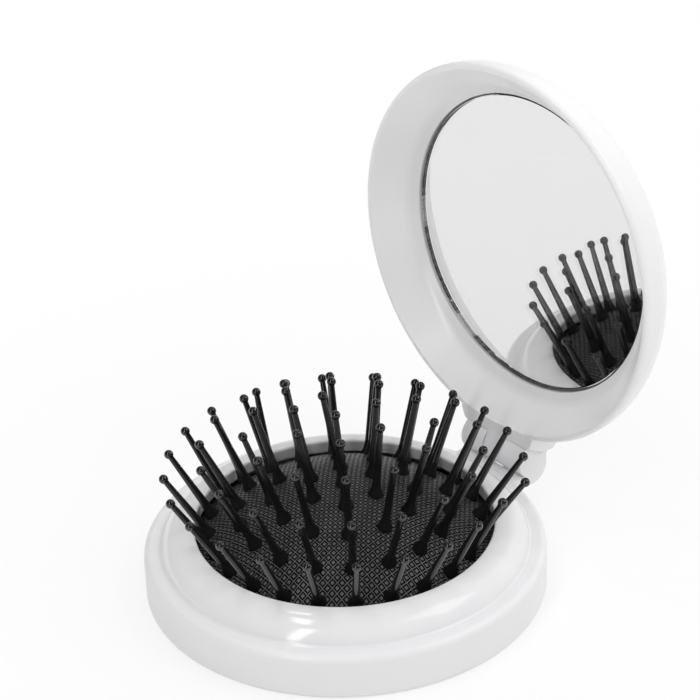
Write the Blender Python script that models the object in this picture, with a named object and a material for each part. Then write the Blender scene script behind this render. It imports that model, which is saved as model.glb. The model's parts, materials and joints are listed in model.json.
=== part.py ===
"""Round pocket mirror comb: a folding compact with a pop-up pin brush in its base.

The base stands on the plane z = 0 with its axis vertical and its hinge towards +Y.
The lid is modelled closed and then turned open on its hinge, as the piece is used.
The pins stand on a domed rubber cushion, in one centre pin and four rings.
All lengths are in metres.
"""

import math

import bpy
from mathutils import Matrix, Vector

MM = 0.001

# Whole compact
body_radius = 32.5 * MM
base_height = 7.7 * MM
lid_height = 10.4 * MM
lid_inset = 0.25 * MM
running_gap = 0.3 * MM
round_segments = 40
open_angle = math.radians(91.5)

# Base shell
wall_thickness = 1.6 * MM
floor_thickness = 1.3 * MM
foot_round = 0.8 * MM
shoulder_round = 1.2 * MM
lip_width = 2.5 * MM
lip_depth = 1.6 * MM
lip_slope = 0.6 * MM
mouth_clearance = 0.6 * MM
mouth_chamfer = 0.4 * MM
rib_width = 1.6 * MM
rib_height = 3.6 * MM

# Collar that frames the cushion
collar_rise = 3.7 * MM
collar_foot_height = 0.4 * MM
collar_crest_width = 0.2 * MM
collar_edge_height = 2.1 * MM
collar_edge_round = 0.4 * MM
collar_skirt_width = 2.3 * MM
collar_ring_width = 5.6 * MM

# Cushion
cushion_crown = 6.6 * MM
cushion_thickness = 0.7 * MM
cushion_flange_width = 1.7 * MM
cushion_flange_inset = 0.95 * MM
cushion_segments = 36
cushion_rings = 6

# Pins
pin_length = 12.9 * MM
pin_ball_radius = 0.72 * MM
pin_neck_radius = 0.48 * MM
pin_shaft_radius = 0.64 * MM
pin_boot_radius = 1.15 * MM
pin_boot_waist = 0.86 * MM
pin_boot_height = 2.3 * MM
pin_stub_radius = 0.5 * MM
pin_segments = 6
pin_stowed_height = 1.1 * MM
pin_phase = math.radians(-37.3)
# The rings from the inside out: how many pins, their roots' radius as a share of the
# opening's, and their outward lean in degrees
pin_ring_counts = (6, 12, 18, 24)
pin_ring_radius_shares = (0.2365, 0.473, 0.701, 0.9)
pin_ring_leans = (8.3, 16.8, 26.0, 31.0)
# The pins of a ring are moulded in groups, each on one strip
pins_per_strip = 2
first_turning_ring = 2
strip_half_width = 0.5 * MM
strip_embed = 0.12 * MM
strip_step = math.radians(8)

# Hinge
hinge_offset = 3.5 * MM
hinge_rise = 1.8 * MM
barrel_radius = 3.2 * MM
barrel_half_width = 7.0 * MM
barrel_segments = 24
knuckle_half_width = 1.9 * MM
hinge_pin_radius = 0.8 * MM
hinge_pin_half_length = 5.7 * MM
hinge_pin_segments = 16
ear_drop = 1.5 * MM
ear_top_gap = 0.4 * MM
ear_root_depth = 1.3 * MM

# Lid shell
lid_rim_round = 0.8 * MM
lid_lip_width = 0.9 * MM
lid_lip_height = 1.25 * MM
lid_wall_width = 3.35 * MM
lid_wall_height = 3.8 * MM
lid_bezel_width = 1.6 * MM
lid_bezel_height = 1.15 * MM
lid_side_height = 0.8 * MM
lid_back_round_width = 10.0 * MM
lid_back_thickness = 1.5 * MM

# Boss that carries the lid's knuckle and wraps the ears' ends
lid_boss_half_width = 8.3 * MM
lid_boss_inset = 1.6 * MM
lid_boss_face_width = 2.6 * MM
lid_boss_height = 6.1 * MM
lid_boss_shoulder_width = 1.7 * MM
lid_boss_shoulder_height = 1.3 * MM
lid_boss_root_depth = 4.25 * MM
lid_cheek_setback = 0.7 * MM
lid_cheek_rise = 3.7 * MM
lid_boss_lap = 0.3 * MM
lid_boss_lap_height = 2.0 * MM
lid_web_rise = 0.6 * MM

# Mirror
mirror_thickness = 1.2 * MM
mirror_bevel = 0.15 * MM
mirror_segments = 48
tape_inset = 5.3 * MM
tape_thickness = 0.25 * MM

# Sizes that follow from the ones above
parting_height = base_height + running_gap
lid_top = parting_height + lid_height
lid_back_round_height = lid_height - lid_side_height
lip_inner_radius = body_radius - lip_width
collar_radius = lip_inner_radius - running_gap
collar_top = base_height + collar_rise
opening_radius = collar_radius - collar_ring_width
lid_radius = body_radius - lid_inset
lid_rim_inner = lid_radius - lid_rim_round - lid_lip_width
mirror_seat_radius = lid_rim_inner - lid_wall_width - lid_bezel_width
hinge_y = body_radius + hinge_offset
hinge_height = parting_height + hinge_rise
cushion_apex = collar_top + cushion_crown
flange_bottom = floor_thickness + rib_height + running_gap
flange_top = flange_bottom + cushion_thickness
flange_outer_radius = collar_radius - cushion_flange_inset
flange_inner_radius = flange_outer_radius - cushion_flange_width
pin_rings = [(count, opening_radius * share, math.radians(lean)) for count, share, lean
             in zip(pin_ring_counts, pin_ring_radius_shares, pin_ring_leans)]
mouth_radius = pin_rings[-1][1] + pin_boot_radius + mouth_clearance
mirror_radius = mirror_seat_radius - running_gap
tape_radius = mirror_radius - tape_inset
lid_floor = lid_top - lid_back_thickness
tape_bottom = lid_floor - running_gap - tape_thickness
mirror_face = tape_bottom - running_gap - mirror_thickness
ear_inner_x = knuckle_half_width + running_gap

# Colours and finishes
WHITE_PLASTIC = ("white_plastic", (0.86, 0.86, 0.87), 0.22, 0.0)
BLACK_RUBBER = ("black_rubber", (0.022, 0.022, 0.024), 0.62, 0.0)
BLACK_PLASTIC = ("black_plastic", (0.012, 0.012, 0.013), 0.25, 0.0)
MIRROR_GLASS = ("mirror_glass", (0.92, 0.93, 0.94), 0.02, 1.0)
TAPE_FOAM = ("tape_foam", (0.78, 0.76, 0.70), 0.85, 0.0)
STEEL = ("steel", (0.62, 0.62, 0.63), 0.30, 1.0)


def clear_scene():
    for item in list(bpy.data.objects):
        bpy.data.objects.remove(item, do_unlink=True)


def make_material(finish, node_name):
    label, colour, roughness, metallic = finish
    material = bpy.data.materials.new(node_name + "_" + label)
    material.use_nodes = True
    shader = material.node_tree.nodes["Principled BSDF"]
    shader.inputs["Base Color"].default_value = (*colour, 1.0)
    shader.inputs["Roughness"].default_value = roughness
    shader.inputs["Metallic"].default_value = metallic
    return material


def new_object(name, mesh, parent, finish=None):
    """Link a mesh to the scene as a named piece with its own material."""
    item = bpy.data.objects.new(name, mesh)
    bpy.context.scene.collection.objects.link(item)
    item.parent = parent
    if finish is not None and not mesh.materials:
        mesh.materials.append(make_material(finish, name))
    return item


def new_guide(name, mesh, parent):
    """A shape that only cuts or joins another piece."""
    item = new_object(name, mesh, parent)
    item.hide_render = True
    item.display_type = "WIRE"
    return item


def new_empty(name, location, parent=None):
    item = bpy.data.objects.new(name, None)
    bpy.context.scene.collection.objects.link(item)
    item.location = location
    item.parent = parent
    return item


def mesh_from(name, points, faces, sharp_angle=math.radians(35)):
    mesh = bpy.data.meshes.new(name)
    mesh.from_pydata([tuple(p) for p in points], [], faces)
    mesh.shade_smooth()
    mesh.set_sharp_from_angle(angle=sharp_angle)
    mesh.update()
    return mesh


def boolean(target, operation, guide):
    modifier = target.modifiers.new(operation.lower() + "_" + guide.name, "BOOLEAN")
    modifier.operation = operation
    modifier.solver = "EXACT"
    modifier.object = guide


def arc(centre, width, height, start, end, steps):
    """Points on an elliptical arc in the (radius, height) plane, angles in degrees."""
    points = []
    for i in range(steps + 1):
        t = math.radians(start + (end - start) * i / steps)
        points.append((centre[0] + width * math.cos(t), centre[1] + height * math.sin(t)))
    return points


def turned_geometry(profile, segments):
    """Spin a closed (radius, height) outline about Z.

    The outline runs counter-clockwise with the radius to the right. A point on the axis
    becomes one vertex, so a solid disc closes at its centre.
    """
    points, rings, faces = [], [], []
    for radius, height in profile:
        if radius == 0:
            rings.append([len(points)] * segments)
            points.append((0, 0, height))
            continue
        rings.append(list(range(len(points), len(points) + segments)))
        for i in range(segments):
            turn = 2 * math.pi * i / segments
            points.append((radius * math.cos(turn), radius * math.sin(turn), height))
    for k in range(len(profile)):
        lower, upper = rings[k], rings[(k + 1) % len(profile)]
        for i in range(segments):
            j = (i + 1) % segments
            corners = [lower[i], lower[j], upper[j], upper[i]]
            face = [c for n, c in enumerate(corners) if c != corners[n - 1]]
            if len(face) > 2:
                faces.append(face)
    return points, faces


def turned_mesh(name, profile, segments=round_segments, drop=0.0):
    points, faces = turned_geometry(profile, segments)
    return mesh_from(name, [(x, y, z - drop) for x, y, z in points], faces)


def bar_geometry(outline, half_width, end_round, middle=0.0):
    """A bar along X whose (y, z) outline runs counter-clockwise seen from +X.

    Its two ends are drawn in by a chamfer of the size end_round.
    """
    centre_y = sum(p[0] for p in outline) / len(outline)
    centre_z = sum(p[1] for p in outline) / len(outline)
    reach = max(math.hypot(y - centre_y, z - centre_z) for y, z in outline)
    shrink = 1 - end_round / reach
    drawn_in = [(centre_y + (y - centre_y) * shrink, centre_z + (z - centre_z) * shrink)
                for y, z in outline]
    sections = [
        (-half_width, drawn_in),
        (-half_width + end_round, outline),
        (half_width - end_round, outline),
        (half_width, drawn_in),
    ]
    if end_round == 0:
        sections = [sections[0], sections[3]]
    count = len(outline)
    points = [(middle + x, y, z) for x, section in sections for y, z in section]
    faces = [list(range(count - 1, -1, -1))]
    for k in range(len(sections) - 1):
        for i in range(count):
            j = (i + 1) % count
            faces.append([k * count + i, k * count + j,
                          (k + 1) * count + j, (k + 1) * count + i])
    faces.append([(len(sections) - 1) * count + i for i in range(count)])
    return points, faces


def bar_mesh(name, outline, half_width, end_round=0.0, middle=0.0):
    points, faces = bar_geometry(outline, half_width, end_round, middle)
    return mesh_from(name, points, faces)


def circle_outline(radius, segments, centre=(0.0, 0.0)):
    """Points round a circle in the (y, z) plane, counter-clockwise."""
    turns = [2 * math.pi * i / segments for i in range(segments)]
    return [(centre[0] + radius * math.cos(t), centre[1] + radius * math.sin(t)) for t in turns]


def convex_outline(points):
    """The convex outline round a set of (y, z) points, counter-clockwise."""
    ordered = sorted(set(points))

    def half(sequence):
        chain = []
        for p in sequence:
            while len(chain) > 1:
                (ay, az), (by, bz) = chain[-2], chain[-1]
                if (by - ay) * (p[1] - az) - (bz - az) * (p[0] - ay) > 0:
                    break
                chain.pop()
            chain.append(p)
        return chain[:-1]

    return half(ordered) + half(list(reversed(ordered)))


# Cushion

def cushion_height(radius):
    """Height of the cushion's upper surface at a distance from its centre."""
    return cushion_apex - (cushion_apex - flange_top) * (radius / flange_inner_radius) ** 2


def cushion_profile():
    radii = [flange_inner_radius * i / cushion_rings for i in range(cushion_rings + 1)]
    upper = [(r, cushion_height(r)) for r in radii]
    lower = [(r, cushion_height(r) - cushion_thickness) for r in radii]
    flange = [(flange_outer_radius, flange_bottom), (flange_outer_radius, flange_top)]
    return lower + flange + list(reversed(upper))


def make_cushion(parent):
    cushion = new_object("cushion_pad", turned_mesh("cushion_pad", cushion_profile(), cushion_segments),
                         parent, BLACK_RUBBER)
    points, faces = [], []
    through = cushion_thickness + pin_boot_height
    hole_radius = pin_stub_radius + running_gap
    hole = [(0, -through), (hole_radius, -through), (hole_radius, through), (0, through)]
    add_turned(points, faces, hole, *pin_pose(0, 0, 0))
    for count, radius, lean in pin_rings:
        step = 2 * math.pi / count
        for middle in strip_turns(count):
            add_strip(points, faces, radius, lean, middle, (pins_per_strip - 1) * step / 2,
                      -through, through, running_gap)
    slots = new_guide("cushion_slot_cutter", mesh_from("cushion_slot_cutter", points, faces), parent)
    boolean(cushion, "DIFFERENCE", slots)


# Pins

def pin_profile(low):
    """Outline of one pin from the height low, with height zero at the underside of its boot."""
    ball_low = pin_length - pin_ball_radius * math.cos(math.radians(42))
    ball_high = pin_length + pin_ball_radius * math.cos(math.radians(48))
    ball_crown = pin_ball_radius * math.sin(math.radians(48))
    stub = [(0, low), (pin_stub_radius, low), (pin_stub_radius, 0)] if low < 0 else [(0, 0)]
    return stub + [
        (pin_boot_radius, 0),
        (pin_boot_waist, pin_boot_height / 2),
        (pin_shaft_radius, pin_boot_height),
        (pin_neck_radius, ball_low),
        (pin_ball_radius, pin_length),
        (ball_crown, ball_high),
        (0, pin_length + pin_ball_radius),
    ]


def add_turned(points, faces, profile, base, direction):
    """Add a turned solid that starts at base and points along direction."""
    own_points, own_faces = turned_geometry(profile, pin_segments)
    turn = Vector((0, 0, 1)).rotation_difference(direction).to_matrix()
    first = len(points)
    points.extend(base + turn @ Vector(p) for p in own_points)
    faces.extend([first + i for i in face] for face in own_faces)


def pin_pose(radius, lean, turn):
    """Root and direction of a pin on the cushion, its turn measured about Z."""
    outward = Vector((math.cos(turn), math.sin(turn), 0))
    up = Vector((0, 0, 1))
    root = outward * radius + up * (cushion_height(radius) + running_gap)
    return root, outward * math.sin(lean) + up * math.cos(lean)


def add_strip(points, faces, radius, lean, middle, spread, low, high, grow=0.0):
    """Add the strip that runs round a ring from one pin to another.

    It reaches from low to high along the pins, and grow widens it for a slot.
    """
    half_width = strip_half_width + grow
    reach = spread + half_width / radius
    steps = max(2, round(2 * reach / strip_step))
    first = len(points)
    for i in range(steps + 1):
        root, direction = pin_pose(radius, lean, middle - reach + 2 * reach * i / steps)
        outward = Vector((root.x, root.y, 0)).normalized()
        across = (outward - direction * outward.dot(direction)).normalized()
        for side, height in ((-1, low), (1, low), (1, high), (-1, high)):
            points.append(root + across * side * half_width + direction * height)
    faces.append([first + i for i in range(4)])
    for k in range(steps):
        for i in range(4):
            j = (i + 1) % 4
            a = first + 4 * k
            faces.append([a + i, a + 4 + i, a + 4 + j, a + j])
    faces.append([first + 4 * steps + i for i in (3, 2, 1, 0)])


def strip_turns(count):
    """Turns of the middles of a ring's strips about Z."""
    step = 2 * math.pi / count
    first = pin_phase + (pins_per_strip - 1) * step / 2
    return [first + k * pins_per_strip * step for k in range(count // pins_per_strip)]


def strip_pivot(radius, lean, spread):
    """Axis about which a strip of pins swings from fanned out to upright.

    The strip's end pins sit at plus and minus spread from its middle plane. The axis lies
    where one swing brings their roots straight down to their stowed height.
    """
    swing = math.atan(math.tan(lean) * math.cos(spread))
    raised = cushion_height(radius) + running_gap
    travel = raised - pin_stowed_height
    pivot_radius = radius * math.cos(spread) + travel / 2 / math.tan(swing / 2)
    return pivot_radius, (raised + pin_stowed_height) / 2


def strip_mesh(name, radius, lean, count, pivot_radius, pivot_height):
    """One strip with its pins, its middle plane at y = 0 and its pivot at the origin."""
    step = 2 * math.pi / count
    spread = step * (pins_per_strip - 1) / 2
    pivot = Vector((pivot_radius, 0, pivot_height))
    points, faces = [], []
    for i in range(pins_per_strip):
        root, direction = pin_pose(radius, lean, i * step - spread)
        add_turned(points, faces, pin_profile(0), root - pivot, direction)
    pins = bpy.data.objects.new(name + "_pins", mesh_from(name + "_pins", points, faces))
    bpy.context.scene.collection.objects.link(pins)
    points, faces = [], []
    add_strip(points, faces, radius, lean, 0, spread, -running_gap - cushion_thickness, strip_embed)
    strip = new_guide(name + "_strip", mesh_from(name + "_strip", [p - pivot for p in points], faces), None)
    boolean(pins, "UNION", strip)
    solid = bpy.data.meshes.new_from_object(pins.evaluated_get(bpy.context.evaluated_depsgraph_get()))
    solid.name = name
    solid.set_sharp_from_angle(angle=math.radians(35))
    bpy.data.objects.remove(pins, do_unlink=True)
    bpy.data.objects.remove(strip, do_unlink=True)
    return solid


def make_pins(parent):
    points, faces = [], []
    add_turned(points, faces, pin_profile(-running_gap - cushion_thickness), *pin_pose(0, 0, 0))
    new_object("pin_center", mesh_from("pin_center", points, faces), parent, BLACK_PLASTIC)
    for ring, (count, radius, lean) in enumerate(pin_rings, start=1):
        pivot_radius, pivot_height = 0.0, 0.0
        if ring >= first_turning_ring:
            spread = math.pi / count * (pins_per_strip - 1)
            pivot_radius, pivot_height = strip_pivot(radius, lean, spread)
        mesh = strip_mesh(f"pins_ring_{ring}", radius, lean, count, pivot_radius, pivot_height)
        for k, turn in enumerate(strip_turns(count), start=1):
            item = new_object(f"pins_ring_{ring}_{k:02d}", mesh, parent, BLACK_PLASTIC)
            item.location = (pivot_radius * math.cos(turn), pivot_radius * math.sin(turn), pivot_height)
            item.rotation_euler = (0, 0, turn)


# Base

def base_shell_profile():
    inner_wall = body_radius - wall_thickness
    rib_outer = flange_outer_radius
    rib_inner = rib_outer - rib_width
    rib_top = floor_thickness + rib_height
    lip_bottom = base_height - lip_depth
    outline = [(mouth_radius, mouth_chamfer), (mouth_radius + mouth_chamfer, 0)]
    outline += arc((body_radius - foot_round, foot_round), foot_round, foot_round, -90, 0, 3)
    outline += arc((body_radius - shoulder_round, base_height - shoulder_round),
                   shoulder_round, shoulder_round, 0, 90, 5)
    outline += [
        (lip_inner_radius, base_height),
        (lip_inner_radius, lip_bottom),
        (inner_wall, lip_bottom - lip_slope),
        (inner_wall, floor_thickness),
        (rib_outer, floor_thickness),
        (rib_outer, rib_top),
        (rib_inner, rib_top),
        (rib_inner, floor_thickness),
        (mouth_radius, floor_thickness),
    ]
    return outline


def ear_web_outline():
    """Side of the web that carries a hinge ear's barrel, rounded where it drops below the axis."""
    web_top = base_height - ear_top_gap
    root_y = body_radius - ear_root_depth
    drop_height = hinge_height - ear_drop
    outline = [
        (hinge_y, hinge_height),
        (hinge_y, web_top),
        (root_y, web_top),
        (root_y, drop_height - barrel_radius),
    ]
    outline += arc((hinge_y, drop_height), barrel_radius, barrel_radius, -90, 0, 6)
    outline.append((hinge_y + barrel_radius, hinge_height))
    return outline


def make_base(parent):
    base = new_object("base_shell", turned_mesh("base_shell", base_shell_profile()),
                      parent, WHITE_PLASTIC)
    half = (barrel_half_width - ear_inner_x) / 2
    middle = (barrel_half_width + ear_inner_x) / 2
    barrel = circle_outline(barrel_radius, barrel_segments, (hinge_y, hinge_height))
    for side, label in ((-1, "left"), (1, "right")):
        web = bar_mesh(f"ear_web_{label}", ear_web_outline(), half, 0.0, side * middle)
        boolean(base, "UNION", new_guide(f"ear_web_{label}_former", web, parent))
        ear = bar_mesh(f"ear_barrel_{label}", barrel, half, 0.0, side * middle)
        boolean(base, "UNION", new_guide(f"ear_barrel_{label}_former", ear, parent))
    bore = circle_outline(hinge_pin_radius + running_gap, hinge_pin_segments, (hinge_y, hinge_height))
    mesh = bar_mesh("hinge_bore", bore, hinge_pin_half_length + running_gap)
    boolean(base, "DIFFERENCE", new_guide("hinge_bore_cutter", mesh, parent))


def make_collar(parent):
    bottom = flange_top + running_gap
    round_width = collar_ring_width - collar_edge_round - collar_crest_width
    round_height = collar_top - bottom - collar_foot_height
    round_centre = (collar_radius - round_width, collar_top - round_height)
    edge_bottom = collar_top - collar_edge_height
    skirt_inner = collar_radius - collar_skirt_width
    outline = [(skirt_inner, bottom), (collar_radius, bottom)]
    outline += arc(round_centre, round_width, round_height, 0, 90, 8)
    outline += arc((opening_radius + collar_edge_round, collar_top - collar_edge_round),
                   collar_edge_round, collar_edge_round, 90, 180, 2)
    outline += [(opening_radius, edge_bottom), (skirt_inner, edge_bottom - collar_edge_round)]
    new_object("cushion_collar", turned_mesh("cushion_collar", outline), parent, WHITE_PLASTIC)


def make_hinge_pin(parent):
    outline = circle_outline(hinge_pin_radius, hinge_pin_segments, (hinge_y, hinge_height))
    mesh = bar_mesh("hinge_pin", outline, hinge_pin_half_length)
    new_object("hinge_pin", mesh, parent, STEEL)


# Lid

def lid_outer_profile():
    outline = arc((lid_radius - lid_rim_round, parting_height + lid_rim_round),
                  lid_rim_round, lid_rim_round, -90, 0, 3)
    outline += arc((lid_radius - lid_back_round_width, lid_top - lid_back_round_height),
                   lid_back_round_width, lid_back_round_height, 0, 90, 9)
    return outline


def lid_profile():
    """Rim, straight wall, bezel round the mirror, recess behind it, and the rounded back."""
    lip_height = parting_height + lid_lip_height
    crease_height = lip_height + lid_wall_height
    inner = [
        (0, lid_floor),
        (mirror_seat_radius, lid_floor),
        (mirror_seat_radius, crease_height + lid_bezel_height),
        (lid_rim_inner - lid_wall_width, crease_height),
    ]
    inner += arc((lid_rim_inner + lid_lip_width, lip_height), lid_lip_width, lid_lip_height, 180, 270, 3)[:-1]
    return inner + lid_outer_profile() + [(0, lid_top)]


def lid_boss_outline():
    face_y = lid_radius - lid_boss_inset
    cheek_y = hinge_y - lid_cheek_setback
    top = parting_height + lid_boss_height
    shoulder_y = cheek_y - lid_boss_shoulder_width
    shoulder_top = top + lid_boss_shoulder_height
    return [
        (face_y, parting_height),
        (face_y + lid_boss_face_width, parting_height),
        (cheek_y, parting_height + lid_cheek_rise),
        (cheek_y, top),
        (shoulder_y, shoulder_top),
        (lid_radius - lid_boss_root_depth, shoulder_top),
    ]


def lid_knuckle_outline():
    wall = lid_radius - lid_rim_round
    low = parting_height + lid_web_rise
    high = parting_height + lid_boss_height - lid_web_rise
    barrel = circle_outline(barrel_radius, barrel_segments, (hinge_y, hinge_height))
    return convex_outline(barrel + [(wall, low), (wall, high)])


def about_hinge(mesh):
    """Move a mesh drawn in the closed compact so that the hinge axis is its origin."""
    mesh.transform(Matrix.Translation((0, -hinge_y, -hinge_height)))
    return mesh


def make_lid(parent):
    lid = new_object("lid_shell", about_hinge(turned_mesh("lid_shell", lid_profile())),
                     parent, WHITE_PLASTIC)
    mesh = about_hinge(bar_mesh("lid_boss", lid_boss_outline(), lid_boss_half_width))
    boss = new_guide("lid_boss_former", mesh, parent)
    lap_radius = lid_radius - lid_rim_round - lid_boss_lap
    low, high = parting_height - lid_boss_lap_height, parting_height + lid_boss_lap_height
    mesh = about_hinge(turned_mesh("lid_lap", [(0, low), (lap_radius, low), (lap_radius, high), (0, high)]))
    boolean(boss, "DIFFERENCE", new_guide("lid_lap_cutter", mesh, parent))
    boolean(lid, "UNION", boss)
    room = circle_outline(barrel_radius + running_gap, barrel_segments, (hinge_y, hinge_height))
    mesh = about_hinge(bar_mesh("ear_room", room, barrel_half_width + running_gap))
    boolean(lid, "DIFFERENCE", new_guide("ear_room_cutter", mesh, parent))
    mesh = about_hinge(bar_mesh("lid_knuckle", lid_knuckle_outline(), knuckle_half_width))
    boolean(lid, "UNION", new_guide("lid_knuckle_former", mesh, parent))
    bore = circle_outline(hinge_pin_radius + running_gap, hinge_pin_segments, (hinge_y, hinge_height))
    mesh = about_hinge(bar_mesh("lid_bore", bore, knuckle_half_width + running_gap))
    boolean(lid, "DIFFERENCE", new_guide("lid_bore_cutter", mesh, parent))


def disc_profile(radius, bottom, thickness, bevel):
    top = bottom + thickness
    return [
        (0, bottom),
        (radius - bevel, bottom),
        (radius, bottom + bevel),
        (radius, top - bevel),
        (radius - bevel, top),
        (0, top),
    ]


def make_mirror(parent):
    glass = disc_profile(mirror_radius, mirror_face, mirror_thickness, mirror_bevel)
    new_object("mirror_glass", about_hinge(turned_mesh("mirror_glass", glass, mirror_segments)),
               parent, MIRROR_GLASS)
    tape = [(0, tape_bottom), (tape_radius, tape_bottom),
            (tape_radius, tape_bottom + tape_thickness), (0, tape_bottom + tape_thickness)]
    new_object("mirror_tape", about_hinge(turned_mesh("mirror_tape", tape)), parent, TAPE_FOAM)


def reference_shift():
    """Distance from the base's axis to the middle of the open compact's length."""
    depth = max((radius + hinge_y) * -math.cos(open_angle)
                + (height - hinge_height) * math.sin(open_angle)
                for radius, height in lid_outer_profile())
    return (hinge_y + depth - body_radius) / 2


def main():
    clear_scene()
    reference = new_empty("reference", (0, -reference_shift(), 0))
    hinge = new_empty("lid_hinge_axis", (0, hinge_y, hinge_height), reference)
    hinge.rotation_euler = (-open_angle, 0, 0)
    make_base(reference)
    make_collar(reference)
    make_cushion(reference)
    make_pins(reference)
    make_hinge_pin(reference)
    make_lid(hinge)
    make_mirror(hinge)


main()
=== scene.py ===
"""Looks of a round pocket mirror comb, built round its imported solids.

Each piece is made about the base's axis, in metres. The lid's pieces are made as they lie when the
compact is closed, and then turned open about the hinge.
"""

import json
import math

import bpy
from mathutils import Matrix, Vector


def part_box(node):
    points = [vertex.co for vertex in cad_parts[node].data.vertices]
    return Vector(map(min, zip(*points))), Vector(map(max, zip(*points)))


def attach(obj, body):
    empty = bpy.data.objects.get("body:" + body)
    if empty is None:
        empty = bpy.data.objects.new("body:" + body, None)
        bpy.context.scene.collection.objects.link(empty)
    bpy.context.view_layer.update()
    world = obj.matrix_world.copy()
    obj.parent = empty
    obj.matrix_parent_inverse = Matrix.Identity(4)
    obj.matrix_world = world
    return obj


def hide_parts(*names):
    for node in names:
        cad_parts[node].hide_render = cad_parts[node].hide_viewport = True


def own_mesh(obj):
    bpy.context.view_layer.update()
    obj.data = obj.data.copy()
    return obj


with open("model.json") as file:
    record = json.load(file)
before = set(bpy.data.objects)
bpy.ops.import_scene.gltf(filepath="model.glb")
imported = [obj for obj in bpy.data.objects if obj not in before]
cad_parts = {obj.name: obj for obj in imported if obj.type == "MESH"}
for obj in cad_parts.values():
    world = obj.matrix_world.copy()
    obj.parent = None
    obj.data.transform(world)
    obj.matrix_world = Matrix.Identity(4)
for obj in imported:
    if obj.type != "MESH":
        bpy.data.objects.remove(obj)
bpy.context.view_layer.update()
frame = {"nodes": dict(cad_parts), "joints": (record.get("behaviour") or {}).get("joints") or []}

MM = 0.001

# The hinge and the middle of the base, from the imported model
HINGE = next(j for j in frame["joints"] if j["name"] == "lid_hinge")
HINGE_POINT = Vector(HINGE["pos_m"])
OPEN_ANGLE = math.radians(HINGE["range_deg"][1])
COLLAR_LOW, COLLAR_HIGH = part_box("cushion_collar")
CENTER_Y = (COLLAR_LOW.y + COLLAR_HIGH.y) / 2
CENTER = Matrix.Translation((0, CENTER_Y, 0))
OPEN_LID = (Matrix.Translation(HINGE_POINT) @ Matrix.Rotation(-OPEN_ANGLE, 4, "X")
            @ Matrix.Translation(-HINGE_POINT) @ CENTER)

# The base's case
GAP = 0.3 * MM
BODY_R = 32.5 * MM
BASE_H = 7.7 * MM
WALL = 1.6 * MM
FLOOR = 1.3 * MM
FOOT_ROUND = 0.8 * MM
SHOULDER_ROUND = 1.2 * MM
LIP_R = 30.0 * MM
LIP_DEPTH = 1.6 * MM
LIP_SLOPE = 0.6 * MM
LIP_EDGE = 0.1 * MM
RIB_TOP = 4.9 * MM
MOUTH_R = 23.45 * MM
MOUTH_EDGE = 0.4 * MM

# The collar: a round from its crest to the case's lip, which it meets in a small hollow
COLLAR_TOP = 11.4 * MM
COLLAR_FOOT = 6.2 * MM
COLLAR_ROUND_H = 4.8 * MM
COLLAR_ROUND_START = 17
COLLAR_EDGE = 0.4 * MM
COLLAR_EDGE_H = 2.1 * MM
COLLAR_CREST = 0.2 * MM
FILLET = 0.35 * MM
FILLET_LIFT = 0.01 * MM
SKIRT_R = 27.4 * MM
OPENING_R = 24.1 * MM

# The cushion
CUSHION_APEX = 18.0 * MM
CUSHION_FOOT = 5.9 * MM
CUSHION_INNER = 27.05 * MM
CUSHION_OUTER = 28.75 * MM
CUSHION_THICK = 0.7 * MM
DOME_RINGS = 40
DOME_SEGMENTS = 192

# Its relief: a square grid of flat tiles, and fine ridges between their rows, rooted below the ground
TILE_PITCH = 1.07 * MM
TILE_HALF = 0.235 * MM
TILE_SLOPE = 0.02 * MM
RIDGE_HALF = 0.07 * MM
RIDGE_SLOPE = 0.02 * MM
RELIEF = 0.2 * MM
RELIEF_ROOT = -1.2 * RELIEF
RELIEF_R = 26.4 * MM
BOOT_CLEAR = 0.95 * MM

# The pins: in each ring how many, their roots' radius as a share of the opening's, and their lean
PIN_RINGS = ((6, 0.2365, 8.3), (12, 0.473, 16.8), (18, 0.701, 26.0), (24, 0.9, 31.0))
PIN_PHASE = math.radians(-37.3)
# How far a pin of length 1 leans to one side in the middle, and the same for single pins that stand
# a little bent, by ring and number
PIN_SWAY = Vector((-0.04, -0.045, 0))
PIN_BENDS = {(1, 3): (-0.1, -0.1), (4, 3): (-0.05, -0.05), (4, 4): (-0.05, -0.05), (4, 5): (0.07, 0.07),
             (4, 6): (0.05, 0.05), (4, 12): (-0.065, -0.065), (4, 14): (0.1, 0.1)}

# One pin: a stub in the cushion, a boot that flares out on it, a tapering shaft and a ball
PIN_LENGTH = 12.9 * MM
STUB_FOOT = -1.0 * MM
STUB_R = 0.5 * MM
BOOT_SUNK = -0.1 * MM
BOOT_EDGE = 0.03 * MM
BOOT_FOOT = 0.15 * MM
BOOT_TOP = 2.35 * MM
BOOT_R = 1.25 * MM
BOOT_FLARE = 1.7
BOOT_STEPS = 8
SHAFT_R = 0.70 * MM
SHAFT_TAPER = 0.9
SHAFT_STEPS = 5
NECK_R = 0.46 * MM
BALL_R = 0.76 * MM
PIN_SEGMENTS = 24
# Numbers of the bands of faces, counted from the stub's foot, at which boot, shaft and ball begin
BOOT_BAND = 2
SHAFT_BAND = BOOT_BAND + 2 + BOOT_STEPS
BALL_BAND = SHAFT_BAND + SHAFT_STEPS

# The hinge
HINGE_Y = 36.0 * MM
HINGE_Z = 9.8 * MM
BARREL_R = 3.2 * MM
BARREL_HALF = 7.0 * MM
KNUCKLE_HALF = 1.9 * MM
KNUCKLE_GAP = 0.1 * MM
KNUCKLE_EDGE = 0.12 * MM
KNUCKLE_ROOT_LOW = 0.6 * MM
KNUCKLE_ROOT_HIGH = 5.5 * MM
EAR_DROP = 1.5 * MM
EAR_TOP = 7.3 * MM
EAR_ROOT = 31.2 * MM
EAR_GAP = 0.12 * MM
EAR_EDGE = 0.2 * MM
WEB_RISE = 0.15 * MM
WEB_DEPTH = 2.0 * MM

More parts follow.
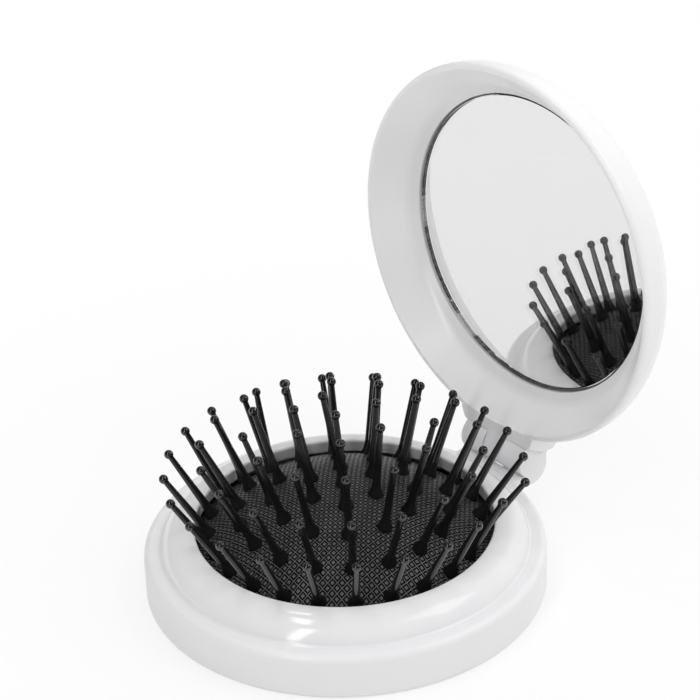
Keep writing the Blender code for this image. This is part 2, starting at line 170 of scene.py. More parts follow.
# The lid's shell
PARTING = BASE_H + GAP
LID_R = 32.25 * MM
LID_TOP = PARTING + 10.4 * MM
LID_FLOOR = LID_TOP - 1.5 * MM
RIM_ROUND = 0.8 * MM
RIM_INNER = 0.5 * MM
RIM_INNER_START = 218.5
RIM_LIP_W = 0.9 * MM
RIM_LIP_H = 1.25 * MM
LID_WALL_W = 3.35 * MM
LID_WALL_H = 3.8 * MM
CREASE_SOFT = 0.8 * MM
BEZEL_W = 1.6 * MM
BEZEL_H = 1.15 * MM
BEZEL_EDGE = 0.12 * MM
BACK_ROUND_W = 10.0 * MM
BACK_ROUND_H = 9.6 * MM

# The lid's boss, with heights over the parting: it tapers to its root towards both ends
BOSS_HALF = 8.3 * MM
BOSS_SUNK = 1.6 * MM
BOSS_FOOT = 2.6 * MM
BOSS_CHEEK = HINGE_Y - 0.7 * MM
BOSS_CHEEK_LOW = 3.7 * MM
BOSS_CHEEK_HIGH = 6.1 * MM
BOSS_TOP = 7.4 * MM
BOSS_SLANT = 1.7 * MM
BOSS_ROOT = LID_R - 4.25 * MM
BOSS_TAPER = 0.6
BOSS_STEPS = 5
BOSS_LAP = 0.4 * MM
BOSS_LAP_H = 2.0 * MM
BOSS_EDGE = 0.25 * MM
# The room for the ears is a full circle: it ends one step before its start, in degrees
ROOM_STEPS = 47
ROOM_END = 352.5

# The mirror, and the degrees round its edge between which painted glints lie, as bright metal faces
MIRROR_R = 25.3 * MM
MIRROR_FACE = 14.5 * MM
MIRROR_BACK = 15.5 * MM
MIRROR_EDGE = 0.12 * MM
SILVER_LOW = MIRROR_BACK + 0.01 * MM
SILVER_HIGH = MIRROR_BACK + 0.07 * MM
GLINT_ARCS = ((119, 130), (167, 179))

SEGMENTS = 256

# Camera, fitted to the photograph: focal length and width of the picture in pixels, azimuth,
# elevation and roll in degrees, and its place back, right and up of the base's foot in millimetres
FOCAL_PIXELS = 2580.438
PHOTO_PIXELS = 700
SENSOR = 36
CAMERA_ANGLES = (49.1179, 29.5659, -2.0212)
CAMERA_PLACE = (420, 0.5477, 37.0293)

# The floor, and how far it glows: these shares at these distances from the middle, in metres
STAGE_HALF = 3.0
STAGE_DROP = 0.05 * MM
GLOW_DISTANCES = (0.05, 0.12)
GLOW_SHARES = (0.75, 1.0)

# Light from all round, and more from some sides: each lobe has a direction and a strength
FILL = 0.08
LOBES = (
    ((0.667, 0.744, 0.0), 0.92),
    ((-0.5, 0.85, 0.15), 1.2),
    ((0.0, 0.0, 1.0), 0.95),
    ((0.53, -0.46, 0.707), 0.36),
)

# Reflections see the white backdrop, and the dark parts of the studio: each has a direction, the
# shares of it between which the dark sets in, and its depth
STUDIO_PARTS = (
    ((-0.654, -0.757, 0.0), -0.4, 0.4, 0.8),
    ((0.658, -0.569, 0.493), -0.2, 0.35, 0.95),
)

# Bright window panes: direction from the object, direction of the long side, width, length, radiance
PANE_DISTANCE = 0.6
PANES = (
    ((0.28, -0.80, 0.52), (0.1, -0.4, -0.9), 0.08, 0.50, 7.0),
    ((-0.08, -0.27, 0.96), (0.29, -0.39, 0.0), 0.06, 0.20, 7.0),
    ((-0.36, 0.12, 0.92), (0.5, -0.8, 0.0), 0.05, 0.06, 7.0),
    ((0.507, 0.369, 0.782), (0.37, -0.32, 0.0), 0.28, 0.28, 2.2),
)

# Light that the open mirror throws back: its radiance, and how far before the glass it starts
BOUNCE = 0.9
BOUNCE_GAP = 1 * MM


# Nodes

def add_node(tree, kind, **values):
    """New node, with each value set on the input of its name, or else on the node itself."""
    node = tree.nodes.new(kind)
    for key, value in values.items():
        if key in node.inputs:
            node.inputs[key].default_value = value
        else:
            setattr(node, key, value)
    return node


def add_sum(tree, operation, *values):
    """Result of a sum on numbers and on other nodes' outputs."""
    node = add_node(tree, "ShaderNodeMath", operation=operation)
    for socket, value in zip(node.inputs, values):
        if isinstance(value, (int, float)):
            socket.default_value = value
        else:
            tree.links.new(value, socket)
    return node.outputs[0]


def add_ramp(tree, value, start, end, low, high):
    """Runs from low to high while the value runs from start to end."""
    node = add_node(tree, "ShaderNodeMapRange")
    for name, number in (("From Min", start), ("From Max", end), ("To Min", low), ("To Max", high)):
        node.inputs[name].default_value = number
    tree.links.new(value, node.inputs["Value"])
    return node.outputs["Result"]


def add_blend(tree, share, first, second, end):
    """Lead a blend of two shaders to the tree's end."""
    blend = add_node(tree, "ShaderNodeMixShader")
    for socket, output in zip(blend.inputs, (share, first, second)):
        tree.links.new(output, socket)
    tree.links.new(blend.outputs[0], tree.nodes[end].inputs["Surface"])


def seen_share(tree):
    """1 for what the camera, a reflection or glass sees, and 0 for the light that surfaces get."""
    path = add_node(tree, "ShaderNodeLightPath").outputs
    seen = add_sum(tree, "MAXIMUM", path["Is Camera Ray"], path["Is Glossy Ray"])
    return add_sum(tree, "MAXIMUM", seen, path["Is Transmission Ray"])


# Materials

def new_material(name, colour, roughness, metallic=0.0, specular=0.5):
    """Material of one colour."""
    material = bpy.data.materials.new(name)
    material.use_nodes = True
    inputs = material.node_tree.nodes["Principled BSDF"].inputs
    inputs["Base Color"].default_value = (*colour, 1.0)
    inputs["Roughness"].default_value = roughness
    inputs["Metallic"].default_value = metallic
    inputs["Specular IOR Level"].default_value = specular
    return material


def grained(name, scale, colours, roughness, relief, contrast=(0.0, 1.0), **values):
    """Material whose colour and roughness run between two values, in patches from broad noise.

    The relief is a fine noise's scale, strength and height, and the contrast is the part of the broad
    noise's range that the patches use.
    """
    material = new_material(name, [sum(pair) / 2 for pair in zip(*colours)], sum(roughness) / 2, **values)
    tree = material.node_tree
    shader = tree.nodes["Principled BSDF"]
    place = add_node(tree, "ShaderNodeTexCoord").outputs["Object"]
    broad = add_node(tree, "ShaderNodeTexNoise", Scale=scale, Detail=4.0, Roughness=0.55)
    tree.links.new(place, broad.inputs["Vector"])
    level = add_ramp(tree, broad.outputs["Fac"], *contrast, 0.0, 1.0)
    tint = add_node(tree, "ShaderNodeMix", data_type="RGBA")
    tint.inputs[6].default_value = (*colours[0], 1.0)
    tint.inputs[7].default_value = (*colours[1], 1.0)
    tree.links.new(level, tint.inputs[0])
    tree.links.new(tint.outputs[2], shader.inputs["Base Color"])
    tree.links.new(add_ramp(tree, level, 0.0, 1.0, *roughness), shader.inputs["Roughness"])
    fine = add_node(tree, "ShaderNodeTexNoise", Scale=relief[0], Detail=3.0, Roughness=0.6)
    tree.links.new(place, fine.inputs["Vector"])
    bump = add_node(tree, "ShaderNodeBump", Strength=relief[1], Distance=relief[2])
    tree.links.new(fine.outputs["Fac"], bump.inputs["Height"])
    tree.links.new(bump.outputs["Normal"], shader.inputs["Normal"])
    return material


def clear_glass(name):
    glass = new_material(name, (0.985, 0.985, 0.985), 0.0)
    inputs = glass.node_tree.nodes["Principled BSDF"].inputs
    inputs["Transmission Weight"].default_value = 1.0
    inputs["IOR"].default_value = 1.52
    return glass


def make_materials():
    white = ((0.79, 0.79, 0.80), (0.81, 0.81, 0.82))
    # Painted light: a paler copy of the white plastic for the lid and the hinge, which lifts their shading
    painted_light_white = ((0.84, 0.84, 0.85), (0.86, 0.86, 0.87))
    black = ((0.006, 0.006, 0.006), (0.010, 0.010, 0.010))
    moulded = (900.0, 0.04, 0.01 * MM)
    rubbery = (5000.0, 0.3, 0.02 * MM)
    broken = (2600.0, 0.9, 0.05 * MM)
    return {
        "white": grained("white_moulded_plastic", 90.0, white, (0.07, 0.14), moulded),
        "silk": grained("white_silk_plastic", 90.0, white, (0.3, 0.4), moulded),
        "satin_painted_light": grained("white_satin_plastic_painted_light", 90.0, painted_light_white, (0.2, 0.3), moulded),
        "rubber": grained("black_rubber_relief", 220.0, ((0.065, 0.065, 0.067), (0.105, 0.105, 0.108)),
                          (0.28, 0.42), rubbery),
        # Painted shade: the cushion's ground and the steep sides of its relief get this far darker, less
        # shiny rubber
        "painted_shade_rubber": grained("black_rubber_painted_shade", 300.0, ((0.004, 0.004, 0.004), (0.009, 0.009, 0.009)),
                          (0.6, 0.8), rubbery, specular=0.05),
        "nylon": grained("black_moulded_nylon", 400.0, black, (0.08, 0.16), (2500.0, 0.08, 0.01 * MM)),
        "tip": grained("black_polished_tip", 400.0, black, (0.04, 0.08), (2500.0, 0.02, 0.01 * MM),
                       specular=0.9),
        "boot": grained("black_matt_boot", 400.0, ((0.006, 0.006, 0.006), (0.012, 0.012, 0.012)),
                        (0.45, 0.6), (2500.0, 0.2, 0.01 * MM), specular=0.1),
        "glass": clear_glass("mirror_glass_body"),
        "ground": grained("ground_glass_edge", 1100.0, ((0.02, 0.02, 0.022), (0.75, 0.76, 0.77)),
                          (0.45, 0.15), broken, (0.52, 0.66), metallic=0.6),
        # Painted glints: bright metal faces on the mirror's edge at the listed arcs
        "glint_patch": grained("painted_glint_glass_edge", 1500.0, ((0.55, 0.55, 0.56), (1.0, 1.0, 1.0)),
                        (0.5, 0.35), broken, (0.35, 0.50), metallic=1.0),
        "silver": grained("mirror_silvering", 60.0, ((0.825, 0.825, 0.825), (0.835, 0.835, 0.835)),
                          (0.0, 0.01), (800.0, 0.0, 0.001 * MM), metallic=1.0),
        "foam": grained("tape_foam", 500.0, ((0.74, 0.72, 0.66), (0.82, 0.80, 0.74)),
                        (0.8, 0.9), (3000.0, 0.4, 0.05 * MM)),
        "steel": grained("drawn_steel", 300.0, ((0.58, 0.58, 0.59), (0.66, 0.66, 0.67)),
                         (0.22, 0.38), (4000.0, 0.1, 0.01 * MM), metallic=1.0),
    }


# Mesh tools

def new_piece(name, shape, material, body, matrix=CENTER, sharp=32):
    """Piece from points and faces, riding on a body; edges above the sharp angle stay sharp."""
    points, faces = shape
    mesh = bpy.data.meshes.new(name)
    mesh.from_pydata([matrix @ Vector(p) for p in points], [], faces)
    mesh.validate()
    mesh.materials.append(material)
    mesh.shade_smooth()
    mesh.set_sharp_from_angle(angle=math.radians(sharp))
    piece = bpy.data.objects.new(name, mesh)
    bpy.context.scene.collection.objects.link(piece)
    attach(piece, body)
    return piece


def bevel(piece, width, segments=3, angle=30):
    """Round the edges that are sharper than the angle."""
    modifier = piece.modifiers.new("edge_round", "BEVEL")
    modifier.width = width
    modifier.segments = segments
    modifier.limit_method = "ANGLE"
    modifier.angle_limit = math.radians(angle)
    modifier.harden_normals = True


def subtract(shape, cutters):
    """Take closed shapes away from a closed shape; each is its points and faces."""
    solids = []
    for points, faces in (shape, *cutters):
        mesh = bpy.data.meshes.new("former")
        mesh.from_pydata([Vector(p) for p in points], [], faces)
        solid = bpy.data.objects.new("former", mesh)
        bpy.context.scene.collection.objects.link(solid)
        solids.append(solid)
    for cutter in solids[1:]:
        modifier = solids[0].modifiers.new("cut", "BOOLEAN")
        modifier.operation = "DIFFERENCE"
        modifier.solver = "EXACT"
        modifier.object = cutter
    result = solids[0].evaluated_get(bpy.context.evaluated_depsgraph_get()).to_mesh()
    points = [v.co.copy() for v in result.vertices]
    faces = [list(p.vertices) for p in result.polygons]
    for solid in solids:
        bpy.data.objects.remove(solid)
    return points, faces


def arc(centre, width, height, start, end, steps):
    """Points of an ellipse from one angle to another, in degrees."""
    points = []
    for i in range(steps + 1):
        t = math.radians(start + (end - start) * i / steps)
        points.append((centre[0] + width * math.cos(t), centre[1] + height * math.sin(t)))
    return points


def softened(before, corner, after, steps=8):
    """Points of a curve that runs from one point to another and turns near the corner between them."""
    points = []
    for i in range(steps + 1):
        t = i / steps
        points.append(tuple((1 - t) ** 2 * a + 2 * t * (1 - t) * b + t ** 2 * c
                            for a, b, c in zip(before, corner, after)))
    return points


def towards(start, end, reach):
    """Point at a distance from the start of a stretch."""
    length = math.hypot(end[0] - start[0], end[1] - start[1])
    return tuple(a + (b - a) * reach / length for a, b in zip(start, end))


def braced(outline, reach=0.06 * MM):
    """Add points close to the ends of long straight stretches, so that these are shaded flat."""
    points = []
    for i, start in enumerate(outline):
        end = outline[(i + 1) % len(outline)]
        points.append(start)
        length = math.hypot(end[0] - start[0], end[1] - start[1])
        if length > 10 * reach and (start[0] or end[0]):
            for t in (reach / length, 1 - reach / length):
                points.append((start[0] + (end[0] - start[0]) * t, start[1] + (end[1] - start[1]) * t))
    return points


def turned(profile, segments=SEGMENTS):
    """Spin a closed (radius, height) outline, counter-clockwise, about Z."""
    points, rings, faces = [], [], []
    for radius, height in profile:
        if radius == 0:
            rings.append([len(points)] * segments)
            points.append((0, 0, height))
            continue
        rings.append(list(range(len(points), len(points) + segments)))
        for i in range(segments):
            turn = 2 * math.pi * i / segments
            points.append((radius * math.cos(turn), radius * math.sin(turn), height))
    for k in range(len(profile)):
        lower, upper = rings[k], rings[(k + 1) % len(profile)]
        for i in range(segments):
            j = (i + 1) % segments
            corners = [lower[i], lower[j], upper[j], upper[i]]
            face = [c for n, c in enumerate(corners) if c != corners[n - 1]]
            if len(face) > 2:
                faces.append(face)
    return points, faces


def loft(sections):
    """A body along X through (x, outline) sections, each counter-clockwise seen from +X."""
    count = len(sections[0][1])
    points = [(x, y, z) for x, outline in sections for y, z in outline]
    last = len(points) - count
    faces = [list(range(count - 1, -1, -1)), list(range(last, last + count))]
    for first in range(0, last, count):
        for i in range(count):
            j = (i + 1) % count
            faces.append([first + i, first + j, first + count + j, first + count + i])
    return points, faces


def bar(outline, x_low, x_high):
    """A straight body along X with one (y, z) outline."""
    return loft([(x_low, outline), (x_high, outline)])


# Base

def make_case(materials):
    """Base case, with its lip, floor and the rib that holds the cushion's flange."""
    profile = [(MOUTH_R, MOUTH_EDGE), (MOUTH_R + MOUTH_EDGE, 0)]
    profile += arc((BODY_R - FOOT_ROUND, FOOT_ROUND), FOOT_ROUND, FOOT_ROUND, -90, 0, 8)
    profile += arc((BODY_R - SHOULDER_ROUND, BASE_H - SHOULDER_ROUND),
                   SHOULDER_ROUND, SHOULDER_ROUND, 0, 90, 14)
    profile += arc((LIP_R + LIP_EDGE, BASE_H - LIP_EDGE), LIP_EDGE, LIP_EDGE, 90, 180, 4)
    profile += [
        (LIP_R, BASE_H - LIP_DEPTH), (BODY_R - WALL, BASE_H - LIP_DEPTH - LIP_SLOPE),
        (BODY_R - WALL, FLOOR), (CUSHION_OUTER, FLOOR), (CUSHION_OUTER, RIB_TOP),
        (CUSHION_OUTER - WALL, RIB_TOP), (CUSHION_OUTER - WALL, FLOOR), (MOUTH_R, FLOOR),
    ]
    case = new_piece("base_case", turned(braced(profile)), materials["silk"], "base")
    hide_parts("base_shell")


def make_ears(materials):
    """The two ears of the hinge, and the web that closes the case under the lid's knuckle."""
    meet = math.sqrt(BARREL_R ** 2 - (HINGE_Z - EAR_TOP) ** 2)
    end = 180 + math.degrees(math.asin((HINGE_Z - EAR_TOP) / BARREL_R))
    low = HINGE_Z - EAR_DROP
    outline = arc((HINGE_Y, low), BARREL_R, BARREL_R, -90, 0, 20)
    outline += arc((HINGE_Y, HINGE_Z), BARREL_R, BARREL_R, 0, end, 48)
    outline += [(HINGE_Y - meet - GAP, EAR_TOP), (EAR_ROOT, EAR_TOP), (EAR_ROOT, low - BARREL_R)]
    inner = KNUCKLE_HALF + KNUCKLE_GAP
    for label, left, right in (("left", -BARREL_HALF, -inner), ("right", inner, BARREL_HALF)):
        # The ears are in the paler white, painted light that lifts their shading
        ear = new_piece("hinge_ear_" + label, bar(outline, left, right), materials["satin_painted_light"],
                        "base")
        bevel(ear, EAR_EDGE)
    reach = BARREL_R + EAR_GAP
    low, high = BASE_H - WEB_DEPTH, EAR_TOP + WEB_RISE
    face = HINGE_Y - math.sqrt(reach ** 2 - (HINGE_Z - high) ** 2)
    outline = [(EAR_ROOT, low), (face, low), (face, high), (EAR_ROOT, high)]
    new_piece("hinge_web", bar(outline, -inner - GAP, inner + GAP), materials["silk"],
              "base")


def make_collar(materials):
    """Ring that frames the cushion."""
    foot, edge = COLLAR_TOP - COLLAR_ROUND_H, COLLAR_TOP - COLLAR_EDGE_H
    round_r = OPENING_R + COLLAR_EDGE + COLLAR_CREST
    outer = LIP_R - LIP_EDGE
    lip = BASE_H + FILLET_LIFT
    flank = arc((round_r, foot), outer - round_r, COLLAR_ROUND_H, COLLAR_ROUND_START, 90, 34)
    profile = [(SKIRT_R, COLLAR_FOOT), (outer, COLLAR_FOOT), (outer, BASE_H - FILLET)]
    profile += softened((outer + FILLET, lip), (outer, lip), flank[0], 6)
    profile += flank[1:]
    profile += arc((OPENING_R + COLLAR_EDGE, COLLAR_TOP - COLLAR_EDGE), COLLAR_EDGE, COLLAR_EDGE, 90, 180, 6)
    profile += [(OPENING_R, edge), (SKIRT_R, edge - COLLAR_EDGE)]
    collar = new_piece("collar_ring", turned(braced(profile)), materials["white"], "base")
    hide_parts("cushion_collar")


# Places on the cushion

def cushion_height(radius):
    """Height of the dome, to the tops of its relief."""
    return CUSHION_APEX - (CUSHION_APEX - CUSHION_FOOT) * (radius / CUSHION_INNER) ** 2


def dome_point(x, y, rise):
    """Point above the dome, or below it."""
    return (x, y, cushion_height(math.hypot(x, y)) + rise)


def pin_pose(share, lean, turn, bend=(0, 0)):
    """Root and direction of a pin whose root lies at a share of the opening's radius."""
    outward = Vector((math.cos(turn), math.sin(turn), 0))
    radius = share * OPENING_R
    root = outward * radius + Vector((0, 0, cushion_height(radius)))
    direction = outward * math.sin(lean) + PIN_SWAY * (1 - share) + Vector((*bend, math.cos(lean)))
    return root, direction.normalized()


def ring_poses(ring):
    """Roots and directions of a ring's pins, in their order; the rings count from 1."""
    count, share, lean = PIN_RINGS[ring - 1]
    return [pin_pose(share, math.radians(lean), PIN_PHASE + index * 2 * math.pi / count,
                     PIN_BENDS.get((ring, index), (0, 0))) for index in range(count)]


# Cushion

def add_tile(points, faces, x, y):
    """A flat square tile with steep sides."""
    first = len(points)
    for size, rise in ((TILE_HALF + TILE_SLOPE, RELIEF_ROOT), (TILE_HALF, 0)):
        for sx, sy in ((-1, -1), (1, -1), (1, 1), (-1, 1)):
            points.append(dome_point(x + sx * size, y + sy * size, rise))
    for k in range(4):
        m = (k + 1) % 4
        faces.append([first + k, first + m, first + 4 + m, first + 4 + k])
    faces.append([first + 4, first + 5, first + 6, first + 7])


def add_ridge(points, faces, across, swap):
    """A fine ridge right across the dome, along X or, swapped, along Y."""
    half = math.sqrt(RELIEF_R ** 2 - across ** 2)
    steps = max(2, round(4 * half / TILE_PITCH))
    foot = RIDGE_HALF + RIDGE_SLOPE
    section = ((-foot, RELIEF_ROOT), (-RIDGE_HALF, 0), (RIDGE_HALF, 0), (foot, RELIEF_ROOT))
    first = len(points)
    for k in range(steps + 1):
        along = -half + 2 * half * k / steps
        for offset, rise in section:
            x, y = (across + offset, along) if swap else (along, across + offset)
            points.append(dome_point(x, y, rise))
    for k in range(steps):
        for m in range(3):
            a = first + 4 * k + m
            face = [a, a + 4, a + 5, a + 1]
            faces.append(face[::-1] if swap else face)


def add_relief(points, faces):
    """Tiles that leave the pins' boots clear, and ridges both ways."""
    roots = [pin_pose(0, 0, 0)[0]]
    for ring in range(1, len(PIN_RINGS) + 1):
        roots += [root for root, direction in ring_poses(ring)]
    reach = int(RELIEF_R / TILE_PITCH) + 1
    for i in range(-reach, reach + 1):
        for j in range(-reach, reach + 1):
            x, y = i * TILE_PITCH, j * TILE_PITCH
            near = min(math.hypot(x - root.x, y - root.y) for root in roots)
            if math.hypot(x, y) < RELIEF_R and near > BOOT_CLEAR:
                add_tile(points, faces, x, y)
    for swap in (False, True):
        for i in range(-reach, reach + 1):
            across = (i + 0.5) * TILE_PITCH
            if abs(across) < RELIEF_R - TILE_PITCH:
                add_ridge(points, faces, across, swap)


def make_cushion(materials):
    """Cushion with black rubber on the tops of its relief, and painted shade on the ground and steep sides:
    a far darker rubber there.
    """
    upper = [(CUSHION_INNER * i / DOME_RINGS, cushion_height(CUSHION_INNER * i / DOME_RINGS))
             for i in range(DOME_RINGS + 1)]
    lower = [(r, z - CUSHION_THICK) for r, z in upper]
    flange = [(CUSHION_OUTER, CUSHION_FOOT - CUSHION_THICK), (CUSHION_OUTER, CUSHION_FOOT)]
    sunk = [(r, z - RELIEF) for r, z in reversed(upper)]
    points, faces = turned(lower + flange + sunk, DOME_SEGMENTS)
    plain = len(faces)
    add_relief(points, faces)
    cushion = new_piece("cushion_dome", (points, faces), materials["rubber"], "base")
    cushion.data.materials.append(materials["painted_shade_rubber"])
    # Faces of the ground and of the steep sides get the painted shade
    for polygon in cushion.data.polygons:
        corners = [cushion.data.vertices[v].co for v in polygon.vertices]
        rises = [p.z - cushion_height(math.hypot(p.x, p.y - CENTER_Y)) for p in corners]
        polygon.material_index = int(polygon.index < plain or max(rises) - min(rises) > RELIEF / 2)
    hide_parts("cushion_pad")
    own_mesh(cushion)


# Pins

def pin_profile():
    """Outline of one pin along Z, with the cushion's surface at 0."""
    profile = [(0, STUB_FOOT), (STUB_R, STUB_FOOT), (STUB_R, BOOT_SUNK),
               (BOOT_R - BOOT_EDGE, BOOT_SUNK), (BOOT_R, BOOT_FOOT)]
    for i in range(1, BOOT_STEPS + 1):
        t = i / BOOT_STEPS
        profile.append((BOOT_R + (SHAFT_R - BOOT_R) * (1 - (1 - t) ** BOOT_FLARE),
                        BOOT_FOOT + (BOOT_TOP - BOOT_FOOT) * t))
    neck = PIN_LENGTH - BALL_R * math.cos(math.asin(NECK_R / BALL_R))
    for i in range(1, SHAFT_STEPS + 1):
        t = i / SHAFT_STEPS
        profile.append((SHAFT_R + (NECK_R - SHAFT_R) * t ** SHAFT_TAPER, BOOT_TOP + (neck - BOOT_TOP) * t))
    start = -math.degrees(math.acos(NECK_R / BALL_R))
    profile += arc((0, PIN_LENGTH), BALL_R, BALL_R, start, 90, 14)[1:-1]
    profile.append((0, PIN_LENGTH + BALL_R))
    return profile


def make_pin_piece(name, poses, body, node, materials):
    """One piece of a pin at each pose, with matt boots and polished balls."""
    points, faces = [], []
    for root, direction in poses:
        own_points, own_faces = turned(pin_profile(), PIN_SEGMENTS)
        turn = Vector((0, 0, 1)).rotation_difference(direction).to_matrix()
        first = len(points)
        points.extend(root + turn @ Vector(p) for p in own_points)
        faces.extend([first + i for i in face] for face in own_faces)
    piece = new_piece(name, (points, faces), materials["nylon"], body)
    piece.data.materials.append(materials["boot"])
    piece.data.materials.append(materials["tip"])
    for number, polygon in enumerate(piece.data.polygons):
        band = number % (len(faces) // len(poses)) // PIN_SEGMENTS
        polygon.material_index = 2 if band >= BALL_BAND else int(BOOT_BAND <= band < SHAFT_BAND)
    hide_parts(node)


def make_pins(materials):
    make_pin_piece("centre_pin", [pin_pose(0, 0, 0)], "center_pin", "pin_center", materials)
    for ring in range(1, len(PIN_RINGS) + 1):
        poses = ring_poses(ring)
        for k in range(len(poses) // 2):
            label = f"{ring}_{k + 1:02d}"
            make_pin_piece("pin_pair_" + label, poses[2 * k:2 * k + 2],
                           "inner_pins" if ring == 1 else "pins_" + label, "pins_ring_" + label, materials)


# Lid

def lid_profile():
    """Outline of the closed lid, from its floor down the wall to the rim and over its back."""
    crease = (LID_R - RIM_ROUND - RIM_LIP_W - LID_WALL_W, PARTING + RIM_LIP_H + LID_WALL_H)
    bezel = (crease[0] - BEZEL_W, crease[1] + BEZEL_H)
    lip = arc((LID_R - RIM_ROUND, PARTING + RIM_INNER), RIM_INNER, RIM_INNER, RIM_INNER_START, 270, 10)
    profile = [(0, LID_FLOOR), (bezel[0], LID_FLOOR)]
    profile += softened((bezel[0], bezel[1] + BEZEL_EDGE), bezel, towards(bezel, crease, BEZEL_EDGE), 3)
    profile += softened(towards(crease, bezel, CREASE_SOFT), crease, towards(crease, lip[0], CREASE_SOFT))
    profile += lip[:-1]
    profile += arc((LID_R - RIM_ROUND, PARTING + RIM_ROUND), RIM_ROUND, RIM_ROUND, -90, 0, 12)
    profile += arc((LID_R - BACK_ROUND_W, LID_TOP - BACK_ROUND_H), BACK_ROUND_W, BACK_ROUND_H, 0, 90, 36)
    profile.append((0, LID_TOP))
    return profile


def boss_shape():
    """Boss outside the rim, cut out for the ears and fitted to the rim's inner round."""
    face, top = LID_R - BOSS_SUNK, PARTING + BOSS_TOP
    outline = [(face, PARTING), (face + BOSS_FOOT, PARTING), (BOSS_CHEEK, PARTING + BOSS_CHEEK_LOW),
               (BOSS_CHEEK, PARTING + BOSS_CHEEK_HIGH), (BOSS_CHEEK - BOSS_SLANT, top), (BOSS_ROOT, top)]
    half = BARREL_HALF + EAR_GAP
    sections = []
    for side in (-1, 1):
        for step in range(BOSS_STEPS + 1)[::side]:
            x = side * (half + (BOSS_HALF - half) * step / BOSS_STEPS)
            share = 1 - (1 - BOSS_TAPER) * (step / BOSS_STEPS) ** 2
            sections.append((x, [(BOSS_ROOT + (y - BOSS_ROOT) * share, z) for y, z in outline]))
    reach = BARREL_R + EAR_GAP
    room = arc((HINGE_Y, HINGE_Z), reach, reach, 0, ROOM_END, ROOM_STEPS)
    lap_r, low, high = LID_R - RIM_ROUND - BOSS_LAP, PARTING - BOSS_LAP_H, PARTING + BOSS_LAP_H
    lap = [(0, low), (lap_r, low), (lap_r, high), (0, high)]
    return subtract(loft(sections), [bar(room, -half, half), turned(lap)])


def make_lid(materials):
    """Shell, boss and the hinge's middle knuckle."""
    # The lid, boss and knuckle are in the paler white, painted light that lifts their shading
    lid = new_piece("lid_case", turned(braced(lid_profile())), materials["satin_painted_light"], "lid",
                    OPEN_LID, 40)
    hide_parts("lid_shell")
    boss = new_piece("lid_boss", boss_shape(), materials["satin_painted_light"], "lid", OPEN_LID)
    bevel(boss, BOSS_EDGE)
    wall = LID_R - RIM_ROUND
    outline = arc((HINGE_Y, HINGE_Z), BARREL_R, BARREL_R, -90, 90, 40)
    outline += [(wall, PARTING + KNUCKLE_ROOT_HIGH), (wall, PARTING + KNUCKLE_ROOT_LOW)]
    knuckle = new_piece("lid_knuckle", bar(outline, -KNUCKLE_HALF, KNUCKLE_HALF), materials["satin_painted_light"],
                        "lid", OPEN_LID)
    bevel(knuckle, KNUCKLE_EDGE)


def make_mirror(materials):
    """Glass pane with a ground edge that carries painted glints in places, and the silver behind it."""
    inner = MIRROR_R - MIRROR_EDGE
    outline = [(0, MIRROR_FACE), (inner, MIRROR_FACE), (MIRROR_R, MIRROR_FACE + MIRROR_EDGE),
               (MIRROR_R, MIRROR_BACK), (0, MIRROR_BACK)]
    pane = new_piece("mirror_pane", turned(outline), materials["glass"], "lid", OPEN_LID, 20)
    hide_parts("mirror_glass")
    pane.data.materials.append(materials["ground"])
    pane.data.materials.append(materials["glint_patch"])
    # Faces of the edge in the listed arcs get the painted glints, the rest the ground edge
    for number, polygon in enumerate(pane.data.polygons[2 * SEGMENTS:3 * SEGMENTS]):
        turn = 360 * number / SEGMENTS
        polygon.material_index = 2 if any(low < turn < high for low, high in GLINT_ARCS) else 1
    outline = [(0, SILVER_LOW), (inner, SILVER_LOW), (inner, SILVER_HIGH), (0, SILVER_HIGH)]
    new_piece("mirror_silver", turned(outline), materials["silver"], "lid", OPEN_LID, 20)


# Stage, lights and camera

def make_floor():
    """A white floor that glows fully white away from the object and takes its shadow near it."""
    mesh = bpy.data.meshes.new("studio_floor")
    corners = [(x * STAGE_HALF, y * STAGE_HALF, 0) for x, y in ((-1, -1), (1, -1), (1, 1), (-1, 1))]
    mesh.from_pydata(corners, [], [(0, 1, 2, 3)])
    material = new_material("studio_white", (0.86, 0.86, 0.86), 0.9)
    tree = material.node_tree
    place = add_node(tree, "ShaderNodeTexCoord")
    distance = add_node(tree, "ShaderNodeVectorMath", operation="LENGTH")
    tree.links.new(place.outputs["Object"], distance.inputs[0])
    level = add_ramp(tree, distance.outputs["Value"], *GLOW_DISTANCES, *GLOW_SHARES)
    share = add_sum(tree, "MULTIPLY", seen_share(tree), level)
    glow = add_node(tree, "ShaderNodeEmission", Strength=1.0)
    add_blend(tree, share, tree.nodes["Principled BSDF"].outputs[0], glow.outputs[0], "Material Output")
    mesh.materials.append(material)
    floor = bpy.data.objects.new("studio_floor", mesh)
    floor.location = (0, 0, -STAGE_DROP)
    bpy.context.scene.collection.objects.link(floor)


def facing(tree, place, direction):
    """Cosine of the angle between where a ray goes and a direction."""
    node = add_node(tree, "ShaderNodeVectorMath", operation="DOT_PRODUCT")
    node.inputs[1].default_value = direction
    tree.links.new(place, node.inputs[0])
    return node.outputs["Value"]


def lobe_light(tree, place):
    """Strength of the light on surfaces from each side."""
    total = FILL
    for direction, strength in LOBES:
        side = add_sum(tree, "MAXIMUM", facing(tree, place, direction), 0.0)
        total = add_sum(tree, "MULTIPLY_ADD", add_sum(tree, "MULTIPLY", side, side), strength, total)
    return total


